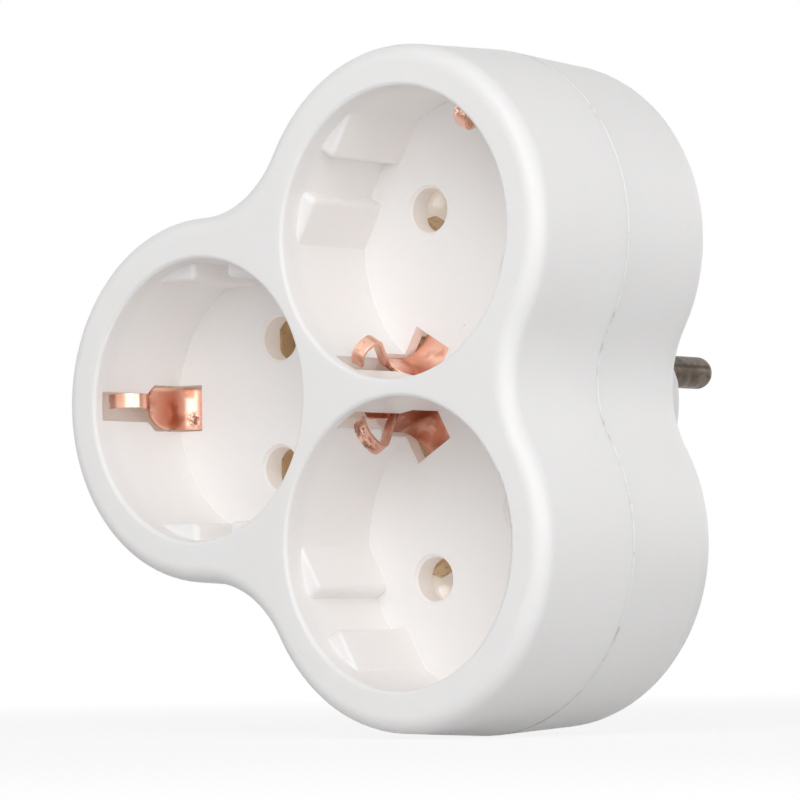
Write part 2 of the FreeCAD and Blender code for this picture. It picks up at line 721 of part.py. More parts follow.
def contact_carrier():
    """Inner moulding that locates the jaws and keeps the two poles apart."""
    radius = BACK_LOBE_IN - (BACK_ROUND - SHELL) - CARRIER_GAP
    plate = straight_body(radius, CARRIER_FRONT, BACK_INSIDE)
    solids = [plate]
    cuts = []
    for angle in SOCKET_ANGLES:
        for side in (1, -1):
            solids.append(seated(pocket(side), angle))
        post = rod(POST_R, LINK_FRONT, CARRIER_FRONT + CARRIER_T / 2)
        solids.append(seated(post, angle))
        cuts.append(rod(COLUMN_R + CARRIER_GAP, CARRIER_FRONT - 1, BACK_INSIDE + 1, polar(SCREW_CIRCLE, angle + 60)))
    for pad in pole_points(1):
        solids.append(rod(POST_R, LIVE_BAR_DEPTH + BAR_T, CARRIER_FRONT + CARRIER_T / 2, pad))
        cuts.append(rod(RIVET_HEAD_R + SMALL_GAP, LIVE_BAR_DEPTH, LIVE_BAR_DEPTH + BAR_T + RIVET_HEAD + SMALL_GAP, pad))
    for pad in pole_points(-1):
        cuts.append(rod(RIVET_HEAD_R + SMALL_GAP, CARRIER_FRONT - 1, CARRIER_FRONT + RIVET_HEAD + SMALL_GAP, pad))
    for side, depth in ((1, LIVE_BAR_DEPTH), (-1, NEUTRAL_BAR_DEPTH)):
        cuts += bar_room(side, depth)
        cuts.append(rod(PIN_SHANK_R + SMALL_GAP, CARRIER_FRONT - 1, BACK_INSIDE + 1, at(PLUG_ANGLE, side * HALF_PITCH)))
    leg = block(STRAP_R - 1, STRAP_R + 1, -STRAP_W / 2 - CARRIER_GAP, STRAP_W / 2 + CARRIER_GAP, CARRIER_FRONT - 1, BACK_INSIDE + 1)
    for half in (90, 270):
        cuts.append(turned(leg, PLUG_ANGLE + half))
    carrier = fused(solids)
    for cut in cuts:
        carrier = carrier.cut(cut)
    return carrier


def bar_room(side, depth):
    """Room in the towers for one bus bar, with a little clearance round it."""
    pin = at(PLUG_ANGLE, side * HALF_PITCH)
    pads = pole_points(side)
    inner, outer = strap_side(side)
    last = [pin, inner, outer, pads[1]] if side > 0 else [pin, inner, pads[1]]
    back = depth + BAR_T
    front = depth - JAW_T - 2 * SMALL_GAP
    cuts = []
    for route in ([pin, pads[0]], last, [pin, pads[2]]):
        cuts += plate_along(route, BAR_W + 2 * CARRIER_GAP, front, back)
    cuts += [rod(PAD_R + CARRIER_GAP, front, back, pad) for pad in pads]
    return cuts


def cover_screws():
    """Three identical screws with recessed cross heads."""
    solids = []
    for angle in SOCKET_ANGLES:
        place = polar(SCREW_CIRCLE, angle + 60.0)
        shank = rod(SCREW_R, SCREW_SEAT - SCREW_LENGTH, SCREW_SEAT, place)
        head = rod(SCREW_HEAD_R, SCREW_SEAT, SCREW_SEAT + SCREW_HEAD, place)
        head = head.makeFillet(0.5, edges_at(head, SCREW_SEAT + SCREW_HEAD))
        screw = fused([shank, head])
        arm = SCREW_HEAD_R * 0.62
        top = SCREW_SEAT + SCREW_HEAD
        for turn in (0, 90):
            slot = block(-arm, arm, -CROSS_W / 2, CROSS_W / 2, top - CROSS_DEPTH, top + 1)
            slot = turned(slot, turn)
            slot.translate(place)
            screw = screw.cut(slot)
        solids.append(screw)
    return Part.makeCompound(solids)


def placed(shape):
    """From the depth axis to the part's own frame: depth along +Y, plug face at the origin."""
    copy = shape.copy()
    copy.rotate(vec(0, 0, 0), vec(1, 0, 0), -90)
    copy.translate(vec(0, -PLUG_FACE, 0))
    return copy


def build_pieces():
    pieces = {
        "front_housing": front_housing(),
        "rear_cover": rear_cover(),
        "contact_carrier": contact_carrier(),
        "live_bar": bus_bar(1, LIVE_BAR_DEPTH),
        "neutral_bar": bus_bar(-1, NEUTRAL_BAR_DEPTH),
        "live_jaw_rivets": jaw_rivets(1, LIVE_BAR_DEPTH),
        "neutral_jaw_rivets": jaw_rivets(-1, NEUTRAL_BAR_DEPTH),
        "earth_link": earth_link(),
        "earth_rivets": earth_rivets(),
        "plug_earth_strap": plug_earth_strap(),
        "cover_screws": cover_screws(),
    }
    poles = (("live", 1, LIVE_BAR_DEPTH), ("neutral", -1, NEUTRAL_BAR_DEPTH))
    for name, side, depth in poles:
        pin = plug_pin(depth)
        pin.translate(at(PLUG_ANGLE, side * HALF_PITCH))
        pieces["plug_pin_" + name] = pin
        folded = jaw(depth)
        folded.translate(vec(0, side * HALF_PITCH, 0))
        for number, angle in enumerate(SOCKET_ANGLES, 1):
            pieces[name + "_jaw_" + str(number)] = seated(folded, angle)
    for number, angle in enumerate(SOCKET_ANGLES, 1):
        strip = earth_strip(CLIP_SPREAD[number - 1], CLIP_SINK[number - 1])
        pieces["earth_strip_" + str(number)] = seated(strip, angle)
    return pieces


os.makedirs("parts", exist_ok=True)
for node, shape in build_pieces().items():
    placed(shape).exportStep("parts/" + node + ".step")
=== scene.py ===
# %% [markdown]
# # A three-way socket adapter in Blender
# The real object is a white moulded body with three recessed sockets in front and one round plug
# behind. Copper earth springs show in the wells, brass contacts show through the pin holes, and the
# plug has nickel-plated pins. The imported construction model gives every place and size, so this
# lesson loads it first and dresses it.

# %% Load the frame
import bpy
import math
from mathutils import Matrix, Vector, noise


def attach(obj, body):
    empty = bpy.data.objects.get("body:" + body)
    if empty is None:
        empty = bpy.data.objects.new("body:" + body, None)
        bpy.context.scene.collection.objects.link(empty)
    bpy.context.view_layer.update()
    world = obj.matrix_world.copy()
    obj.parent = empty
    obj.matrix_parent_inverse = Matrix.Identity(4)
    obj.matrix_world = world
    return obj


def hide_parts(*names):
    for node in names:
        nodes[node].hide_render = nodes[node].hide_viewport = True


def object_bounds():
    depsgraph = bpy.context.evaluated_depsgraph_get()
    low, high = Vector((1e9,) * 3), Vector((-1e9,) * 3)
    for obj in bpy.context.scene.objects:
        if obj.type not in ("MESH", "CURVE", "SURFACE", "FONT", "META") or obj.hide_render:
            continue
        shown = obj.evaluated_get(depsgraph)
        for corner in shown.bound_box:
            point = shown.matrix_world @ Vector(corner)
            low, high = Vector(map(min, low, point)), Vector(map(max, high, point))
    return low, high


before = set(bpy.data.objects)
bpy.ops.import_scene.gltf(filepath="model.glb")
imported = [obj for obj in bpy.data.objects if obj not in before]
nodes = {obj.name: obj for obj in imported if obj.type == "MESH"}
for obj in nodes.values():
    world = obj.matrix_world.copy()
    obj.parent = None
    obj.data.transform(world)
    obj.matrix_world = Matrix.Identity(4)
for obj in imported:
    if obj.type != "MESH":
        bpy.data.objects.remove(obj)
cad_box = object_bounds()
print("nodes:", len(nodes), "box:", [tuple(round(v, 4) for v in corner) for corner in cad_box])

# %% [markdown]
# ## The frame's axes
# Depth runs along +Y, from the front rims to the plug. The construction sizes are given in
# millimetres as a maker would write them, and `mm` turns them into Blender's metres.

# %% Sizes that the scene shares with the construction
mm = 0.001
PLUG_FACE_DEPTH = 58.3 * mm
SEAM_Y = 18.7 * mm - PLUG_FACE_DEPTH
LOWEST = cad_box[0][2]
print("seam plane at y =", round(SEAM_Y, 4), "floor at z =", round(LOWEST, 4))

# %% [markdown]
# ## Copper earth strips
# Each well has one strip of springy copper. It lies under the floor, sweeps up at both sides of the
# well, narrows to a tongue and bends over a crest into the well, where it touches the plug. On the
# real one a flat blank is stamped and bent. Here the strip is grown in the same order: its end edge
# is extruded along every straight run and spun round the centre of every bend, and the shoulders
# are made by narrowing the row as it goes. The clips have been spread by use, each one differently.

# %% Strip sizes
WELL_R = 20.15 * mm
SOCKET_R = (2 * WELL_R + 2.4 * mm) / math.sqrt(3)
SOCKET_TURNS = {1: 180.0, 2: 60.0, 3: -60.0}
STRIP_T = 0.5 * mm
STRIP_W = 6.2 * mm
STRIP_DEPTH = 20.7 * mm
CLIP_WALL = 20.6 * mm
CLIP_TIP = 20.7 * mm
CLIP_CREST = 14.85 * mm
FOLD_DEPTH = 11.4 * mm
CREST_DEPTH = 5.1 * mm
TIP_DEPTH = 4.3 * mm
TIP_RISE = 1.1 * mm
FOOT_BEND_R = 3.8 * mm
FOLD_BEND_R = 1.6 * mm
CREST_BEND_R = 1.4 * mm
TIP_BEND_R = 3.0 * mm
TONGUE_EDGES = (-0.35 * mm, 1.75 * mm)
SHOULDERS = (3.9 * mm, 1.8 * mm)
COLUMNS = 8
NECK_ROWS = 16
TEAR = 0.55 * mm
EDGE_BREAK = 0.07 * mm
RIVET_HOLE_R = 1.15 * mm
RIVET_AT = 12.0 * mm
# How far each arm is spread, how much deeper its crest and its tip sit, and how much of its tip is
# missing: (outer arm, inner arm) for each socket.
CLIPS = {
    1: ((0.0, 0.0, -0.5, 0.0), (1.3, 0.0, 0.0, 0.0)),
    2: ((3.7, 0.3, 0.3, 0.0), (-0.7, -0.2, -0.6, 1.0)),
    3: ((1.8, 0.0, 0.0, 0.0), (1.4, 1.5, 1.1, 0.0)),
}
print("well axes", round(SOCKET_R, 5), "m from the middle")


# %% Picking and placing
def only(piece):
    """Makes one object the active and only selected one."""
    if bpy.context.mode != "OBJECT":
        bpy.ops.object.mode_set(mode="OBJECT")
    bpy.ops.object.select_all(action="DESELECT")
    bpy.context.view_layer.objects.active = piece
    piece.select_set(True)


def pick(piece, test):
    """Leaves the piece in edit mode with the vertices selected whose place passes the test."""
    only(piece)
    bpy.ops.object.mode_set(mode="EDIT")
    bpy.ops.mesh.select_mode(type="VERT")
    bpy.ops.mesh.select_all(action="DESELECT")
    bpy.ops.object.mode_set(mode="OBJECT")
    for vertex in piece.data.vertices:
        vertex.select = test(vertex.co)
    bpy.ops.object.mode_set(mode="EDIT")
    bpy.ops.mesh.select_mode(type="VERT")


def apply_modifier(piece, kind, **settings):
    """Adds a modifier, sets it up and applies it."""
    only(piece)
    modifier = piece.modifiers.new(kind.lower(), kind)
    for key, value in settings.items():
        setattr(modifier, key, value)
    bpy.ops.object.modifier_apply(modifier=modifier.name)


def settle(piece):
    """Puts the piece's place into its mesh."""
    only(piece)
    bpy.ops.object.transform_apply(location=True, rotation=True, scale=True)


def seat(piece, turn):
    """Moves a piece that was made round the depth axis to one socket's axis."""
    a = math.radians(turn)
    piece.rotation_euler = (0.0, a, 0.0)
    piece.location = (SOCKET_R * math.cos(a), 0.0, -SOCKET_R * math.sin(a))
    settle(piece)


def depth(value):
    """The y of a depth behind the front rims."""
    return value - PLUG_FACE_DEPTH


print("helpers for picking and placing ready")

# %% [markdown]
# ## Runs, bends and rows
# One arm of a strip is written down first as a path of straight runs that meet in corners. Every
# corner is then rounded: its bend starts where a circle of the bend's radius touches the run, and
# it turns by what the corner's angle lacks of a half turn. A bevelled curve would give the same
# line, but a row that is extruded and spun can be narrowed on its way, and so makes the shoulders.


# %% Runs and bends
BEND_STEP = 9.0


def bends_of(points, radii):
    """For each inner corner of a path: where its bend starts, its centre, and the signed turn."""
    plan = []
    for i, radius in enumerate(radii):
        before, corner, after = (Vector(p) for p in points[i:i + 3])
        back = (before - corner).normalized()
        ahead = (after - corner).normalized()
        half = back.angle(ahead) / 2
        start = corner + back * (radius / math.tan(half))
        centre = corner + (back + ahead).normalized() * (radius / math.sin(half))
        heading = -back
        side = heading.x * ahead.y - heading.y * ahead.x
        plan.append((start, centre, math.copysign(math.pi - 2 * half, side)))
    return plan


def run_to(here, there, rows=1):
    """Extrudes the selected end row from one point of the path to another."""
    step = (Vector(there) - Vector(here)) / rows
    for _ in range(rows):
        bpy.ops.mesh.extrude_region_move(TRANSFORM_OT_translate={"value": (step.x, step.y, 0.0)})
    return Vector(there)


def bend(here, centre, turn):
    """Spins the selected end row round the centre of a bend, a few degrees for each new row."""
    steps = max(3, round(abs(math.degrees(turn)) / BEND_STEP))
    bpy.ops.mesh.spin(steps=steps, angle=-turn, center=(*centre, 0.0), axis=(0.0, 0.0, 1.0))
    arm = Vector(here) - Vector(centre)
    c, s = math.cos(turn), math.sin(turn)
    return Vector(centre) + Vector((arm.x * c - arm.y * s, arm.x * s + arm.y * c))


print("a square corner takes", round(90 / BEND_STEP), "rows")


# %% Rows across the strip
SHOULDER_CURVE = (1.6, 0.85)


def set_row(old, new):
    """Changes the edges of the selected row from old to new, both (low, high) across the strip."""
    share = (new[1] - new[0]) / (old[1] - old[0])
    bpy.ops.transform.resize(value=(1.0, 1.0, share), center_override=(0.0, 0.0, 0.0))
    shift = (new[0] + new[1]) / 2 - (old[0] + old[1]) / 2 * share
    bpy.ops.transform.translate(value=(0.0, 0.0, shift))
    return new


def row_edges(d):
    """Edges (low, high) of the row at a depth: tongue, rounded shoulders, then the full width."""
    edges = []
    p, q = SHOULDER_CURVE
    for edge, side, length in zip(TONGUE_EDGES, (-1, 1), SHOULDERS):
        share = min(1.0, max(0.0, (d - FOLD_DEPTH) / length))
        room = STRIP_W / 2 - side * edge
        edges.append(edge + side * room * (1 - (1 - share) ** p) ** q)
    return -edges[1], -edges[0]


for d in (STRIP_DEPTH, FOLD_DEPTH + 1.0 * mm, FOLD_DEPTH):
    print("row at depth", round(d, 4), "from", *(round(edge, 5) for edge in row_edges(d)))


# %% One arm of a strip
def clip_path(spread, crest_sink, tip_sink, tip_loss):
    """The corners of one arm from the well axis to its tip, and the radius of each bend."""
    crest = CLIP_CREST + spread * mm
    share = min(1.0, (CLIP_TIP - crest) / (CLIP_TIP - CLIP_CREST))
    middle = (crest + CLIP_TIP) / 2
    path = [
        (0.0, depth(STRIP_DEPTH)),
        (CLIP_WALL, depth(STRIP_DEPTH)),
        (CLIP_WALL, depth(FOLD_DEPTH)),
        (crest, depth(CREST_DEPTH + crest_sink * mm)),
        (middle, depth(TIP_DEPTH + tip_sink * mm - TIP_RISE)),
        (CLIP_TIP - tip_loss * mm, depth(TIP_DEPTH + tip_sink * mm)),
    ]
    radii = [FOOT_BEND_R, FOLD_BEND_R, CREST_BEND_R * share, TIP_BEND_R * share * share]
    return path, radii


def clip_arm(name, *wear):
    """One side of a strip: a flat grid whose end row is grown along the path to the tip."""
    path, radii = clip_path(*wear)
    plan = bends_of(path, radii)
    bpy.ops.object.select_all(action="DESELECT")
    bpy.ops.mesh.primitive_grid_add(
        x_subdivisions=4, y_subdivisions=COLUMNS, size=STRIP_W,
        location=(STRIP_W / 2, depth(STRIP_DEPTH), 0.0), rotation=(math.pi / 2, 0.0, 0.0),
    )
    arm = bpy.context.object
    arm.name = name
    settle(arm)
    pick(arm, lambda v: v.x > STRIP_W - 0.1 * mm)
    here = Vector((STRIP_W, path[0][1]))
    here = run_to(here, plan[0][0], 3)
    here = bend(here, plan[0][1], plan[0][2])
    row = (-STRIP_W / 2, STRIP_W / 2)
    step = (plan[1][0] - here) / NECK_ROWS
    for _ in range(NECK_ROWS):
        here = run_to(here, here + step)
        row = set_row(row, row_edges(here.y + PLUG_FACE_DEPTH))
    tongue = set_row(row, row_edges(0.0))
    here = bend(here, plan[1][1], plan[1][2])
    for start, centre, turn in plan[2:]:
        here = run_to(here, start, 3)
        here = bend(here, centre, turn)
    here = run_to(here, path[-1], 2)
    bpy.ops.object.mode_set(mode="OBJECT")
    print(name, "tongue", [round(v, 5) for v in tongue], "tip", [round(v, 5) for v in here])
    return arm


unspread = clip_path(0.0, 0.0, 0.0, 0.0)[0]
print("an unspread arm has its crest at", [round(v, 5) for v in unspread[3]])

# %% [markdown]
# ## From the bent row to a stamped part
# The grown surface has no thickness yet. The loose tip is torn a little unevenly first, as on the
# real one, where the blank was cropped in one stroke. Then the two arms are joined and merged,
# Solidify gives the sheet its half millimetre, a small bevel breaks the stamped edges, and the hole
# for the rivet is cut under the floor.


# %% Torn tips
TEAR_SCALE = 1900.0


def tear(arm, seed):
    """Pushes the last row of the tip in and out by a few tenths of a millimetre."""
    wave = Vector((seed * 1.7, seed * 2.3, 0.0))
    for vertex in arm.data.vertices[:][-COLUMNS - 1:]:
        place = Vector((vertex.co.z * TEAR_SCALE, 0.0, 0.0)) + wave
        vertex.co.x -= (0.25 + noise.noise(place)) * TEAR


print("tips torn by up to", round(1.25 * TEAR, 5), "m")


# %% Earth strips
def earth_strip(number, turn, clips):
    """A whole strip: two arms, joined, thickened, punched and set on its socket's axis."""
    strip = clip_arm("earth_strip_outer", *clips[0])
    tear(strip, number)
    inner = clip_arm("earth_strip_inner", *clips[1])
    tear(inner, number + 5)
    inner.rotation_euler = (0.0, math.pi, 0.0)
    settle(inner)
    only(strip)
    inner.select_set(True)
    bpy.ops.object.join()
    strip.name = "earth_strip_sprung_" + str(number)
    pick(strip, lambda v: True)
    bpy.ops.mesh.remove_doubles(threshold=0.01 * mm)
    bpy.ops.mesh.normals_make_consistent(inside=False)
    bpy.ops.object.mode_set(mode="OBJECT")
    apply_modifier(strip, "SOLIDIFY", thickness=STRIP_T, offset=0.0, use_even_offset=True)
    apply_modifier(
        strip, "BEVEL", width=EDGE_BREAK, segments=2,
        limit_method="ANGLE", angle_limit=math.radians(50),
    )
    bpy.ops.object.select_all(action="DESELECT")
    bpy.ops.mesh.primitive_cylinder_add(
        vertices=40, radius=RIVET_HOLE_R, depth=8 * STRIP_T,
        location=(-RIVET_AT, depth(STRIP_DEPTH), 0.0), rotation=(math.pi / 2, 0.0, 0.0),
    )
    punch = bpy.context.object
    apply_modifier(strip, "BOOLEAN", operation="DIFFERENCE", object=punch)
    bpy.data.objects.remove(punch)
    seat(strip, turn)
    only(strip)
    bpy.ops.object.shade_smooth_by_angle(angle=math.radians(35))
    return strip


strips = {}
for number, turn in SOCKET_TURNS.items():
    strips[number] = earth_strip(number, turn, CLIPS[number])
    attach(strips[number], "root")
    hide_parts("earth_strip_" + str(number))
    print(strips[number].name, len(strips[number].data.polygons), "faces")

# %% [markdown]
# ## Shader maths as Python
# A material is a small formula. Wrapping a node's output socket in a class with operators lets the
# formula be written as one, and every operator adds the Math node that it stands for.


# %% A socket with operators
class Wire:
    """One output socket, whose arithmetic adds Math nodes."""

    def __init__(self, paint, socket):
        self.paint = paint
        self.socket = socket

    def math(self, operation, *others, clamp=False):
        settings = {"operation": operation, "use_clamp": clamp}
        return self.paint.node("ShaderNodeMath", settings, self, *others)

    def __add__(self, other):
        return self.math("ADD", other)

    def __sub__(self, other):
        return self.math("SUBTRACT", other)

    def __mul__(self, other):
        return self.math("MULTIPLY", other)

    def __rsub__(self, other):
        return self.paint.node("ShaderNodeMath", {"operation": "SUBTRACT"}, other, self)

    __radd__ = __add__
    __rmul__ = __mul__

    def size(self):
        return self.math("ABSOLUTE")

    def clamped(self):
        return self.math("ADD", 0.0, clamp=True)

    def between(self, low, high):
        """0 at low, 1 at high, with a soft start and end."""
        settings = {"interpolation_type": "SMOOTHSTEP"}
        return self.paint.node("ShaderNodeMapRange", settings, self, low, high)


print("a wire can be added, subtracted and multiplied, from either side")


# %% A material to paint
class Paint:
    """A material or a world, and the nodes that its formula adds."""

    def __init__(self, owner):
        owner.use_nodes = True
        self.owner = owner
        self.tree = owner.node_tree
        self.tree.nodes.clear()

    def node(self, kind, settings, *inputs, output=0, **named):
        """Adds a node: its settings first, then the values or links of its sockets."""
        made = self.tree.nodes.new(kind)
        for key, value in settings.items():
            setattr(made, key, value)
        for index, value in enumerate(inputs):
            self.feed(made.inputs[index], value)
        for key, value in named.items():
            self.feed(made.inputs[key.replace("_", " ")], value)
        return Wire(self, made.outputs[output]) if made.outputs else None

    def feed(self, socket, value):
        if isinstance(value, Wire):
            self.tree.links.new(value.socket, socket)
        elif value is not None:
            wants_color = socket.type == "RGBA" and len(value) == 3
            socket.default_value = (*value, 1.0) if wants_color else value

    def place(self):
        """The object's own coordinates, in metres."""
        return self.node("ShaderNodeTexCoord", {}, output="Object")

    def vector(self, operation, first, second, output=0):
        settings = {"operation": operation}
        return self.node("ShaderNodeVectorMath", settings, first, second, output=output)

    def noise(self, scale, detail=3.0, roughness=0.5, where=None, stretch=None):
        """Cloudy values; stretch makes them longer along an axis."""
        place = where or self.place()
        if stretch:
            place = self.vector("MULTIPLY", place, stretch)
        return self.node(
            "ShaderNodeTexNoise", {"noise_dimensions": "3D"},
            Vector=place, Scale=scale, Detail=detail, Roughness=roughness,
        )

    def blend(self, amount, first, second):
        """A colour between two colours, which the Mix node takes at its sockets 6 and 7."""
        settings = {"data_type": "RGBA", "clamp_factor": True}
        unused = [None] * 5
        return self.node("ShaderNodeMix", settings, amount, *unused, first, second, output=2)

    def axis(self, letter):
        return self.node("ShaderNodeSeparateXYZ", {}, self.place(), output=letter)

    def away_from(self, points, where=None, keep=(1.0, 1.0, 1.0)):
        """Distance to the nearest of some points, counted along the axes that keep leaves in."""
        flat = self.vector("MULTIPLY", where or self.place(), keep)
        nearest = None
        for point in points:
            gap = self.vector("DISTANCE", flat, point, output="Value")
            nearest = gap if nearest is None else nearest.math("MINIMUM", gap)
        return nearest

    def seen_directly(self):
        """1 for rays from the camera, and for what is seen in gloss or through something."""
        kinds = ("Is Camera Ray", "Is Glossy Ray", "Is Transmission Ray")
        camera, glossy, through = (self.node("ShaderNodeLightPath", {}, output=k) for k in kinds)
        return (camera + glossy + through).clamped()

    def bump(self, height, strength, distance):
        return self.node("ShaderNodeBump", {}, Strength=strength, Distance=distance, Height=height)

    def finish(self, **sockets):
        """The Principled shader with these sockets, as the material's surface."""
        shader = self.node("ShaderNodeBsdfPrincipled", {}, **sockets)
        self.node("ShaderNodeOutputMaterial", {}, Surface=shader)
        self.owner.cycles.emission_sampling = "NONE"
        return self.owner


def painted(name):
    """A new, empty material to paint."""
    return Paint(bpy.data.materials.new(name))


print("shader maths ready")

# %% [markdown]
# ## White moulded plastic
# The body is glossy white plastic. Close up it is not one flat white: the colour drifts a little,
# there is a fine orange-peel skin from the mould, handling has left faint dull smears, and a few
# dark specks are moulded in. Dust has settled in the joint between the two halves. The walls are
# thin enough for light to come through them, so the wells are a little warmer and lighter inside
# than lamps alone would make them, and a weak emission there stands for that light.

# %% Where the wells are
WELL_DEPTH = 17.9 * mm
HALF_PITCH = 9.5 * mm
OUTER_WALL = (24.9 * mm, 25.4 * mm)
WELL_AXES = []
HOLE_AXES = []
for turn in SOCKET_TURNS.values():
    a = math.radians(turn)
    outwards = Vector((math.cos(a), 0.0, -math.sin(a)))
    across = Vector((math.sin(a), 0.0, math.cos(a)))
    WELL_AXES.append(tuple(outwards * SOCKET_R))
    for side in (-1, 1):
        HOLE_AXES.append(tuple(outwards * SOCKET_R + across * side * HALF_PITCH))
print("well axes at", [tuple(round(v, 4) for v in axis) for axis in WELL_AXES])


# %% Marks on the white plastic
ROUND_THE_AXIS = (1.0, 0.0, 1.0)


def moulded_specks(paint):
    """A few dark specks: the middles of cells, kept only where a slow cloud is dense."""
    cells = paint.node(
        "ShaderNodeTexVoronoi", {"feature": "F1"}, output="Distance",
        Vector=paint.place(), Scale=120.0, Randomness=1.0,
    )
    rare = paint.noise(61.0, detail=0.0).between(0.66, 0.7)
    return (1 - cells.between(0.03, 0.055)) * rare * 0.6


def turning_rings(paint):
    """Fine rings that the mould's turned core has left round each pin hole."""
    from_hole = paint.away_from(HOLE_AXES, keep=ROUND_THE_AXIS)
    return (from_hole * 6200.0).math("SINE") * (1 - from_hole.between(4.3 * mm, 4.6 * mm))


def light_through_shell(paint, y, from_axis, outside):
    """A weak glow in the wells, a little stronger and warmer behind their walls and floors."""
    below_rim = y.between(depth(2.0 * mm), depth(5.0 * mm)) * (1 - outside)
    before_seam = 1 - y.between(depth(22.0 * mm), depth(24.0 * mm))
    behind_wall = from_axis.between(WELL_R + 0.15 * mm, WELL_R + 0.55 * mm)
    behind_floor = y.between(depth(WELL_DEPTH + 0.05 * mm), depth(WELL_DEPTH + 0.4 * mm))
    behind = behind_wall.math("MAXIMUM", behind_floor)
    glow = paint.blend(behind, (0.036, 0.032, 0.029), (0.085, 0.064, 0.050))
    return paint.blend(below_rim * before_seam, (0.0, 0.0, 0.0), glow)


print("specks, rings and glow ready")


# %% White plastic
def white_plastic():
    """Glossy white with drifting colour, mould skin, smears, specks and a dusty joint."""
    paint = painted("white_plastic_finish")
    y = paint.axis("Y")
    from_axis = paint.away_from(WELL_AXES, keep=ROUND_THE_AXIS)
    outside = from_axis.between(*OUTER_WALL)
    drift = paint.noise(38.0, detail=2.0).between(0.3, 0.7)
    body = paint.blend(drift, (0.915, 0.897, 0.886), (0.93, 0.914, 0.905))
    body = paint.blend(moulded_specks(paint), body, (0.30, 0.22, 0.16))
    from_seam = (y - SEAM_Y).size()
    dusty = paint.noise(160.0, detail=4.0, roughness=0.7).between(0.48, 0.72)
    joint = (1 - from_seam.between(0.12 * mm, 0.42 * mm)) * outside
    body = paint.blend(joint * 0.3, body, (0.80, 0.74, 0.64))
    dirt = (1 - from_seam.between(0.10 * mm, 0.34 * mm)) * dusty * 0.6 * outside
    body = paint.blend(dirt, body, (0.36, 0.27, 0.19))
    smear = paint.noise(90.0, detail=5.0, roughness=0.65, stretch=(1.0, 0.35, 1.0))
    skin = paint.noise(900.0, detail=2.0)
    waves = paint.noise(55.0, detail=1.0)
    height = skin * 0.25 + waves + turning_rings(paint) * (1 - outside) * 0.12
    return paint.finish(
        Base_Color=body,
        Roughness=0.40 + smear.between(0.35, 0.75) * 0.06 + dirt * 0.3,
        Normal=paint.bump(height, 0.25, 0.2 * mm),
        IOR=1.5,
        Subsurface_Weight=0.15,
        Subsurface_Radius=(3.0 * mm, 2.0 * mm, 1.6 * mm),
        Subsurface_Scale=1.0,
        Emission_Color=light_through_shell(paint, y, from_axis, outside),
        Emission_Strength=1.0,
    )


white = white_plastic()
for name in ("front_housing", "rear_cover"):
    nodes[name].material_slots[0].material = white
print("white plastic on the body")

# %% [markdown]
# ## The plastic inside
# The carrier behind the pin holes is moulded in the same white but left matt. It lies behind two
# walls, so the light that comes through them is stood for by a weak emission here too.


# %% Carrier plastic
def carrier_plastic():
    """Matt white with a fine grain."""
    paint = painted("carrier_plastic_finish")
    drift = paint.noise(70.0, detail=3.0).between(0.3, 0.7)
    body = paint.blend(drift, (0.84, 0.82, 0.79), (0.88, 0.865, 0.84))
    grain = paint.noise(1400.0, detail=2.0)
    return paint.finish(
        Base_Color=body,
        Roughness=0.42 + grain * 0.14,
        Normal=paint.bump(grain, 0.3, 0.1 * mm),
        IOR=1.5,
        Subsurface_Weight=0.1,
        Subsurface_Radius=(2.0 * mm, 1.5 * mm, 1.2 * mm),
        Subsurface_Scale=1.0,
        Emission_Color=(0.22, 0.205, 0.19),
        Emission_Strength=1.0,
    )


nodes["contact_carrier"].material_slots[0].material = carrier_plastic()
print("matt plastic on the carrier")

# %% [markdown]
# ## Brass and steel
# Both are bright metals that have gone dull in clouds and spots. One recipe serves them: a bright
# colour, a tarnished colour, and how far the tarnish goes. Each node knows its construction
# material by name, so the finish is given to all the nodes of that name.


# %% Brass and steel
def metal(name, bright, dull, amount, roughness, scale=300.0):
    """Metal that is dull in clouds and spots, which are a share of its surface."""
    paint = painted(name)
    clouds = paint.noise(scale, detail=6.0, roughness=0.62)
    spots = paint.noise(scale * 4.0, detail=3.0, roughness=0.6)
    grain = paint.noise(scale * 8.0, detail=2.0)
    tarnish = (clouds * 0.7 + spots * 0.3).between(0.62 - amount * 0.3, 0.78 - amount * 0.3)
    height = grain * 0.5 + spots * 0.5 + clouds
    return paint.finish(
        Base_Color=paint.blend(tarnish, bright, dull),
        Metallic=1.0 - tarnish * 0.25,
        Roughness=roughness + tarnish * 0.2 + grain.between(0.3, 0.8) * 0.1,
        Normal=paint.bump(height, 0.35, 0.1 * mm),
    )


brass = metal("brass_finish", (0.70, 0.55, 0.38), (0.46, 0.34, 0.21), 0.4, 0.42)
steel = metal("screw_steel_finish", (0.56, 0.55, 0.53), (0.30, 0.28, 0.26), 0.3, 0.3)
finishes = {"brass": brass, "rivet_brass": brass, "screw_steel": steel}
dressed = []
for name, node in nodes.items():
    made_of = node.material_slots[0].material.name
    if made_of in finishes:
        node.material_slots[0].material = finishes[made_of]
        dressed.append(name)
print("brass or steel on", dressed)


# %% [markdown]
# ## Pin nickel
# The pins are plated, and old plating is not a mirror: it goes grey-brown and cloudy. Each pin also
# has a dark line along it, which is a painted dark reflection. The line lies at one height above
# the pin's axis, so it follows the pin whatever way it is seen.

# %% Pins
PIN_RISE = HALF_PITCH * math.sin(math.radians(30.0))
REFLECTION_BAND_RISE = 0.75 * mm


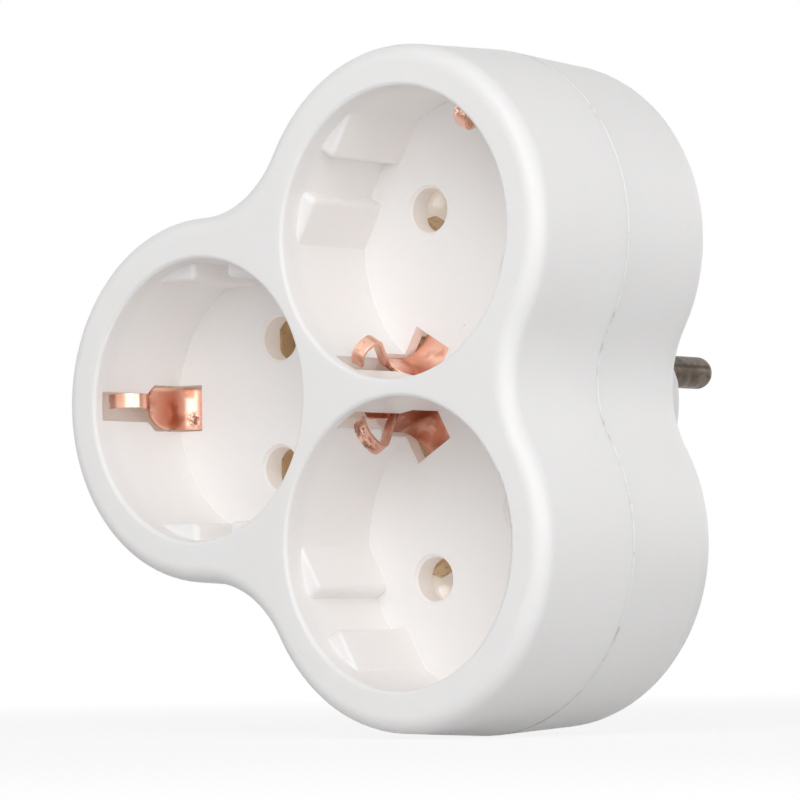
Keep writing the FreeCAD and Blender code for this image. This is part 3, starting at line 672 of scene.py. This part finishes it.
def pin_nickel():
    """Old nickel plating: grey-brown, finely turned, with a painted dark reflection along the side.
    """
    paint = painted("pin_nickel_finish")
    clouds = paint.noise(420.0, detail=5.0, roughness=0.65)
    grain = paint.noise(1.0, detail=2.0, stretch=(2600.0, 500.0, 2600.0))
    worn = clouds.between(0.36, 0.62)
    shade = paint.blend(worn, (0.178, 0.142, 0.113), (0.094, 0.073, 0.056))
    height = paint.axis("Z")
    low, high = ((height - (side * PIN_RISE + REFLECTION_BAND_RISE)).size() for side in (-1, 1))
    # Painted dark reflection: a dark line at one height above each pin's axis.
    painted_reflection_band = 1 - low.math("MINIMUM", high).between(0.08 * mm, 0.45 * mm)
    shade = paint.blend(painted_reflection_band * 0.75, shade, (0.040, 0.030, 0.025))
    return paint.finish(
        Base_Color=shade,
        Metallic=1.0,
        Roughness=0.27 + worn * 0.14 + grain * 0.08,
        Normal=paint.bump(grain * 0.5 + clouds, 0.35, 0.08 * mm),
    )


nickel = pin_nickel()
for name in ("plug_pin_live", "plug_pin_neutral"):
    nodes[name].material_slots[0].material = nickel
print("nickel on the pins, which stand", round(PIN_RISE, 5), "m above and below the middle")

# %% [markdown]
# ## Copper
# The strips have tarnished unevenly, each one in its own way. The crests, where plugs rub, are
# brighter, sparks have burnt dark specks at a few places, and the marks of the rolling mill run
# along the sheet. Each strip's colours are also darkened by a share of their own, which is painted
# shade.


# %% Copper
FRESH_COPPER = Vector((0.95, 0.57, 0.44))
DULL_COPPER = Vector((0.57, 0.20, 0.12))
RUBBED_DOWN_TO = (8.0 * mm, 11.5 * mm)


def copper_sheet(name, turn, age, painted_shade_factor, burns):
    """Rolled copper sheet. The pattern is turned so that its lines run along the strip."""
    paint = painted(name)
    turned = paint.node(
        "ShaderNodeMapping", {},
        Vector=paint.place(), Rotation=(0.0, -math.radians(turn), 0.0),
    )
    patches = paint.noise(330.0, detail=2.5, roughness=0.45, where=turned)
    lines = paint.noise(1.0, detail=2.0, where=turned, stretch=(120.0, 120.0, 5200.0))
    spots = paint.noise(1500.0, detail=4.0, roughness=0.7, where=turned, stretch=(1.0, 0.6, 1.0))
    near = paint.noise(260.0, detail=1.0, where=turned)
    rubbed = 1 - paint.axis("Y").between(*(depth(d) for d in RUBBED_DOWN_TO))
    tarnish = patches.between(0.42 - age, 0.70 - age) * (1 - rubbed * 0.6)
    # Painted shade: both copper colours are darkened by the strip's own factor.
    shade = paint.blend(tarnish, FRESH_COPPER * painted_shade_factor, DULL_COPPER * painted_shade_factor)
    burnt = spots.between(0.6, 0.7) * near.between(0.54, 0.64)
    close = 1 - paint.away_from(burns, where=turned).between(0.5 * mm, 1.7 * mm)
    burnt = burnt.math("MAXIMUM", close * spots.between(0.44, 0.56))
    height = lines * 0.45 + patches * 1.2 + spots * 0.25 - burnt * 0.3
    return paint.finish(
        Base_Color=paint.blend(burnt * 0.85, shade, (0.14, 0.06, 0.045)),
        Metallic=1.0 - burnt * 0.5,
        Roughness=0.28 + tarnish * 0.10 + lines.between(0.3, 0.8) * 0.06 + burnt * 0.25,
        Normal=paint.bump(height, 0.4, 0.12 * mm),
    )


for state, color in {"fresh": FRESH_COPPER, "dull": DULL_COPPER}.items():
    print(state, "copper is", [round(v, 2) for v in color])

# %% Wear and painted shade of each strip
# Where sparks have burnt the copper, in millimetres from the well's axis: outwards, back, across.
BURNS = {
    1: [(18.9, 20.2, 1.6), (20.3, 11.2, 0.2)],
    2: [(-16.0, 3.8, 0.5), (-18.0, 3.0, 0.5)],
    3: [(19.3, 3.4, 0.2), (19.1, 3.3, -0.9)],
}
# How tarnished each strip is, and the share of its colour that is kept: a painted shade, strongest
# on the bottom strip, which reflects darker surroundings.
TARNISH_AND_PAINTED_SHADE = {1: (-0.03, 0.98), 2: (0.12, 0.84), 3: (-0.08, 0.98)}
for number, strip in strips.items():
    burns = [(SOCKET_R + x * mm, depth(y * mm), z * mm) for x, y, z in BURNS[number]]
    strip.data.materials.clear()
    strip.data.materials.append(
        copper_sheet("copper_finish_" + str(number), SOCKET_TURNS[number], *TARNISH_AND_PAINTED_SHADE[number], burns)
    )
for name in ("earth_link", "plug_earth_strap"):
    nodes[name].material_slots[0].material = strips[1].data.materials[0]
print("copper on the strips, the link and the strap")

# %% [markdown]
# ## The camera
# The photograph was taken from the right of the front and slightly below, through a long lens. The
# angles and the distance were solved from the pin holes, rims and edges of the object itself.


# %% Camera
def camera_at(azimuth, elevation, roll, distance, aside, above, lens):
    """A camera by its angles in degrees, its distance and offsets in metres, and its lens in mm."""
    az, el, turn = (math.radians(v) for v in (azimuth, elevation, roll))
    back = Vector((math.sin(az) * math.cos(el), -math.cos(az) * math.cos(el), math.sin(el)))
    right = (-back).cross(Vector((0, 0, 1))).normalized()
    up = right.cross(-back)
    c, s = math.cos(turn), math.sin(turn)
    right, up = right * c + up * s, up * c - right * s
    place = back * distance + right * aside + up * above - Vector((0, PLUG_FACE_DEPTH, 0))
    data = bpy.data.cameras.new("camera")
    data.sensor_width = 36.0
    data.lens = lens
    data.clip_start = 0.01
    camera = bpy.data.objects.new("camera", data)
    bpy.context.scene.collection.objects.link(camera)
    axes = Matrix((right, up, back)).transposed()
    camera.matrix_world = Matrix.Translation(place) @ axes.to_4x4()
    return camera


camera = camera_at(
    azimuth=40.402, elevation=-2.983, roll=-0.866, distance=0.605204,
    aside=10.391 * mm, above=-1.177 * mm, lens=196.346,
)
bpy.context.scene.camera = camera
print("camera at", tuple(round(v, 4) for v in camera.location))

# %% [markdown]
# ## The floor
# The object stands on white paper that runs on behind it. To the eye of the camera, and in
# reflections, the paper is plain white further out. Close by, part of its own shading stays, so
# that the object's soft shadow is kept.


# %% Floor
def paper_white():
    """White paper: it takes the object's shadow close by, and fades to plain white further out."""
    paint = painted("paper")
    lit = paint.node("ShaderNodeBsdfDiffuse", {}, Color=(0.7, 0.7, 0.7))
    bright = paint.node("ShaderNodeEmission", {}, Color=(1.0, 1.0, 1.0), Strength=1.05)
    far = paint.away_from([(0.0, 0.0, 0.0)]).between(0.09, 0.45)
    plain = paint.seen_directly() * (0.82 + far * 0.18)
    surface = paint.node("ShaderNodeMixShader", {}, plain, lit, bright)
    paint.node("ShaderNodeOutputMaterial", {}, Surface=surface)
    return paint.owner


bpy.ops.mesh.primitive_plane_add(size=6.0, location=(0, 0, LOWEST))
floor = bpy.context.object
floor.name = "floor"
floor.data.materials.append(paper_white())
print("floor laid")

# %% [markdown]
# ## Lamps and world
# White plastic shows its shape only through slow changes of tone, so the light comes from large
# soft boxes: a high one for the upper edges, a wide one in front that reaches into the wells, and
# weak ones at the sides and behind. The world adds a little cool light from all round.

# %% Lamps
MIDDLE = Vector((0.0, -0.035, 0.0))
# Place in metres, side of the square box in metres, power in watts.
LAMPS = {
    "key": ((0.30, -0.80, 0.72), 0.5, 2.0),
    "front": ((0.60, -0.95, 0.15), 1.0, 6.6),
    "right_fill": ((0.95, -0.25, 0.12), 0.6, 2.5),
    "left_fill": ((-0.8, -0.6, 0.2), 0.6, 0.9),
    "back_fill": ((0.20, 1.10, 0.02), 1.0, 3.0),
}


def softbox(name, place, side, power):
    """A square soft lamp that faces the middle of the object."""
    data = bpy.data.lights.new(name, "AREA")
    data.size = side
    data.energy = power
    lamp = bpy.data.objects.new(name, data)
    bpy.context.scene.collection.objects.link(lamp)
    lamp.location = place
    lamp.rotation_euler = (MIDDLE - Vector(place)).to_track_quat("-Z", "Y").to_euler()


for name, setup in LAMPS.items():
    softbox(name, *setup)
print("lamps:", list(LAMPS))


# %% World
def white_world():
    """Weak cool light from all round, and plain white where the world itself is seen."""
    world = bpy.data.worlds.new("studio")
    bpy.context.scene.world = world
    paint = Paint(world)
    ambient = paint.node("ShaderNodeBackground", {}, Color=(0.97, 0.985, 1.0), Strength=0.30)
    white_back = paint.node("ShaderNodeBackground", {}, Color=(1.0, 1.0, 1.0), Strength=1.0)
    mix = paint.node("ShaderNodeMixShader", {}, paint.seen_directly(), ambient, white_back)
    paint.node("ShaderNodeOutputWorld", {}, Surface=mix)


white_world()
bpy.context.scene.view_settings.view_transform = "Standard"
print("world lit")
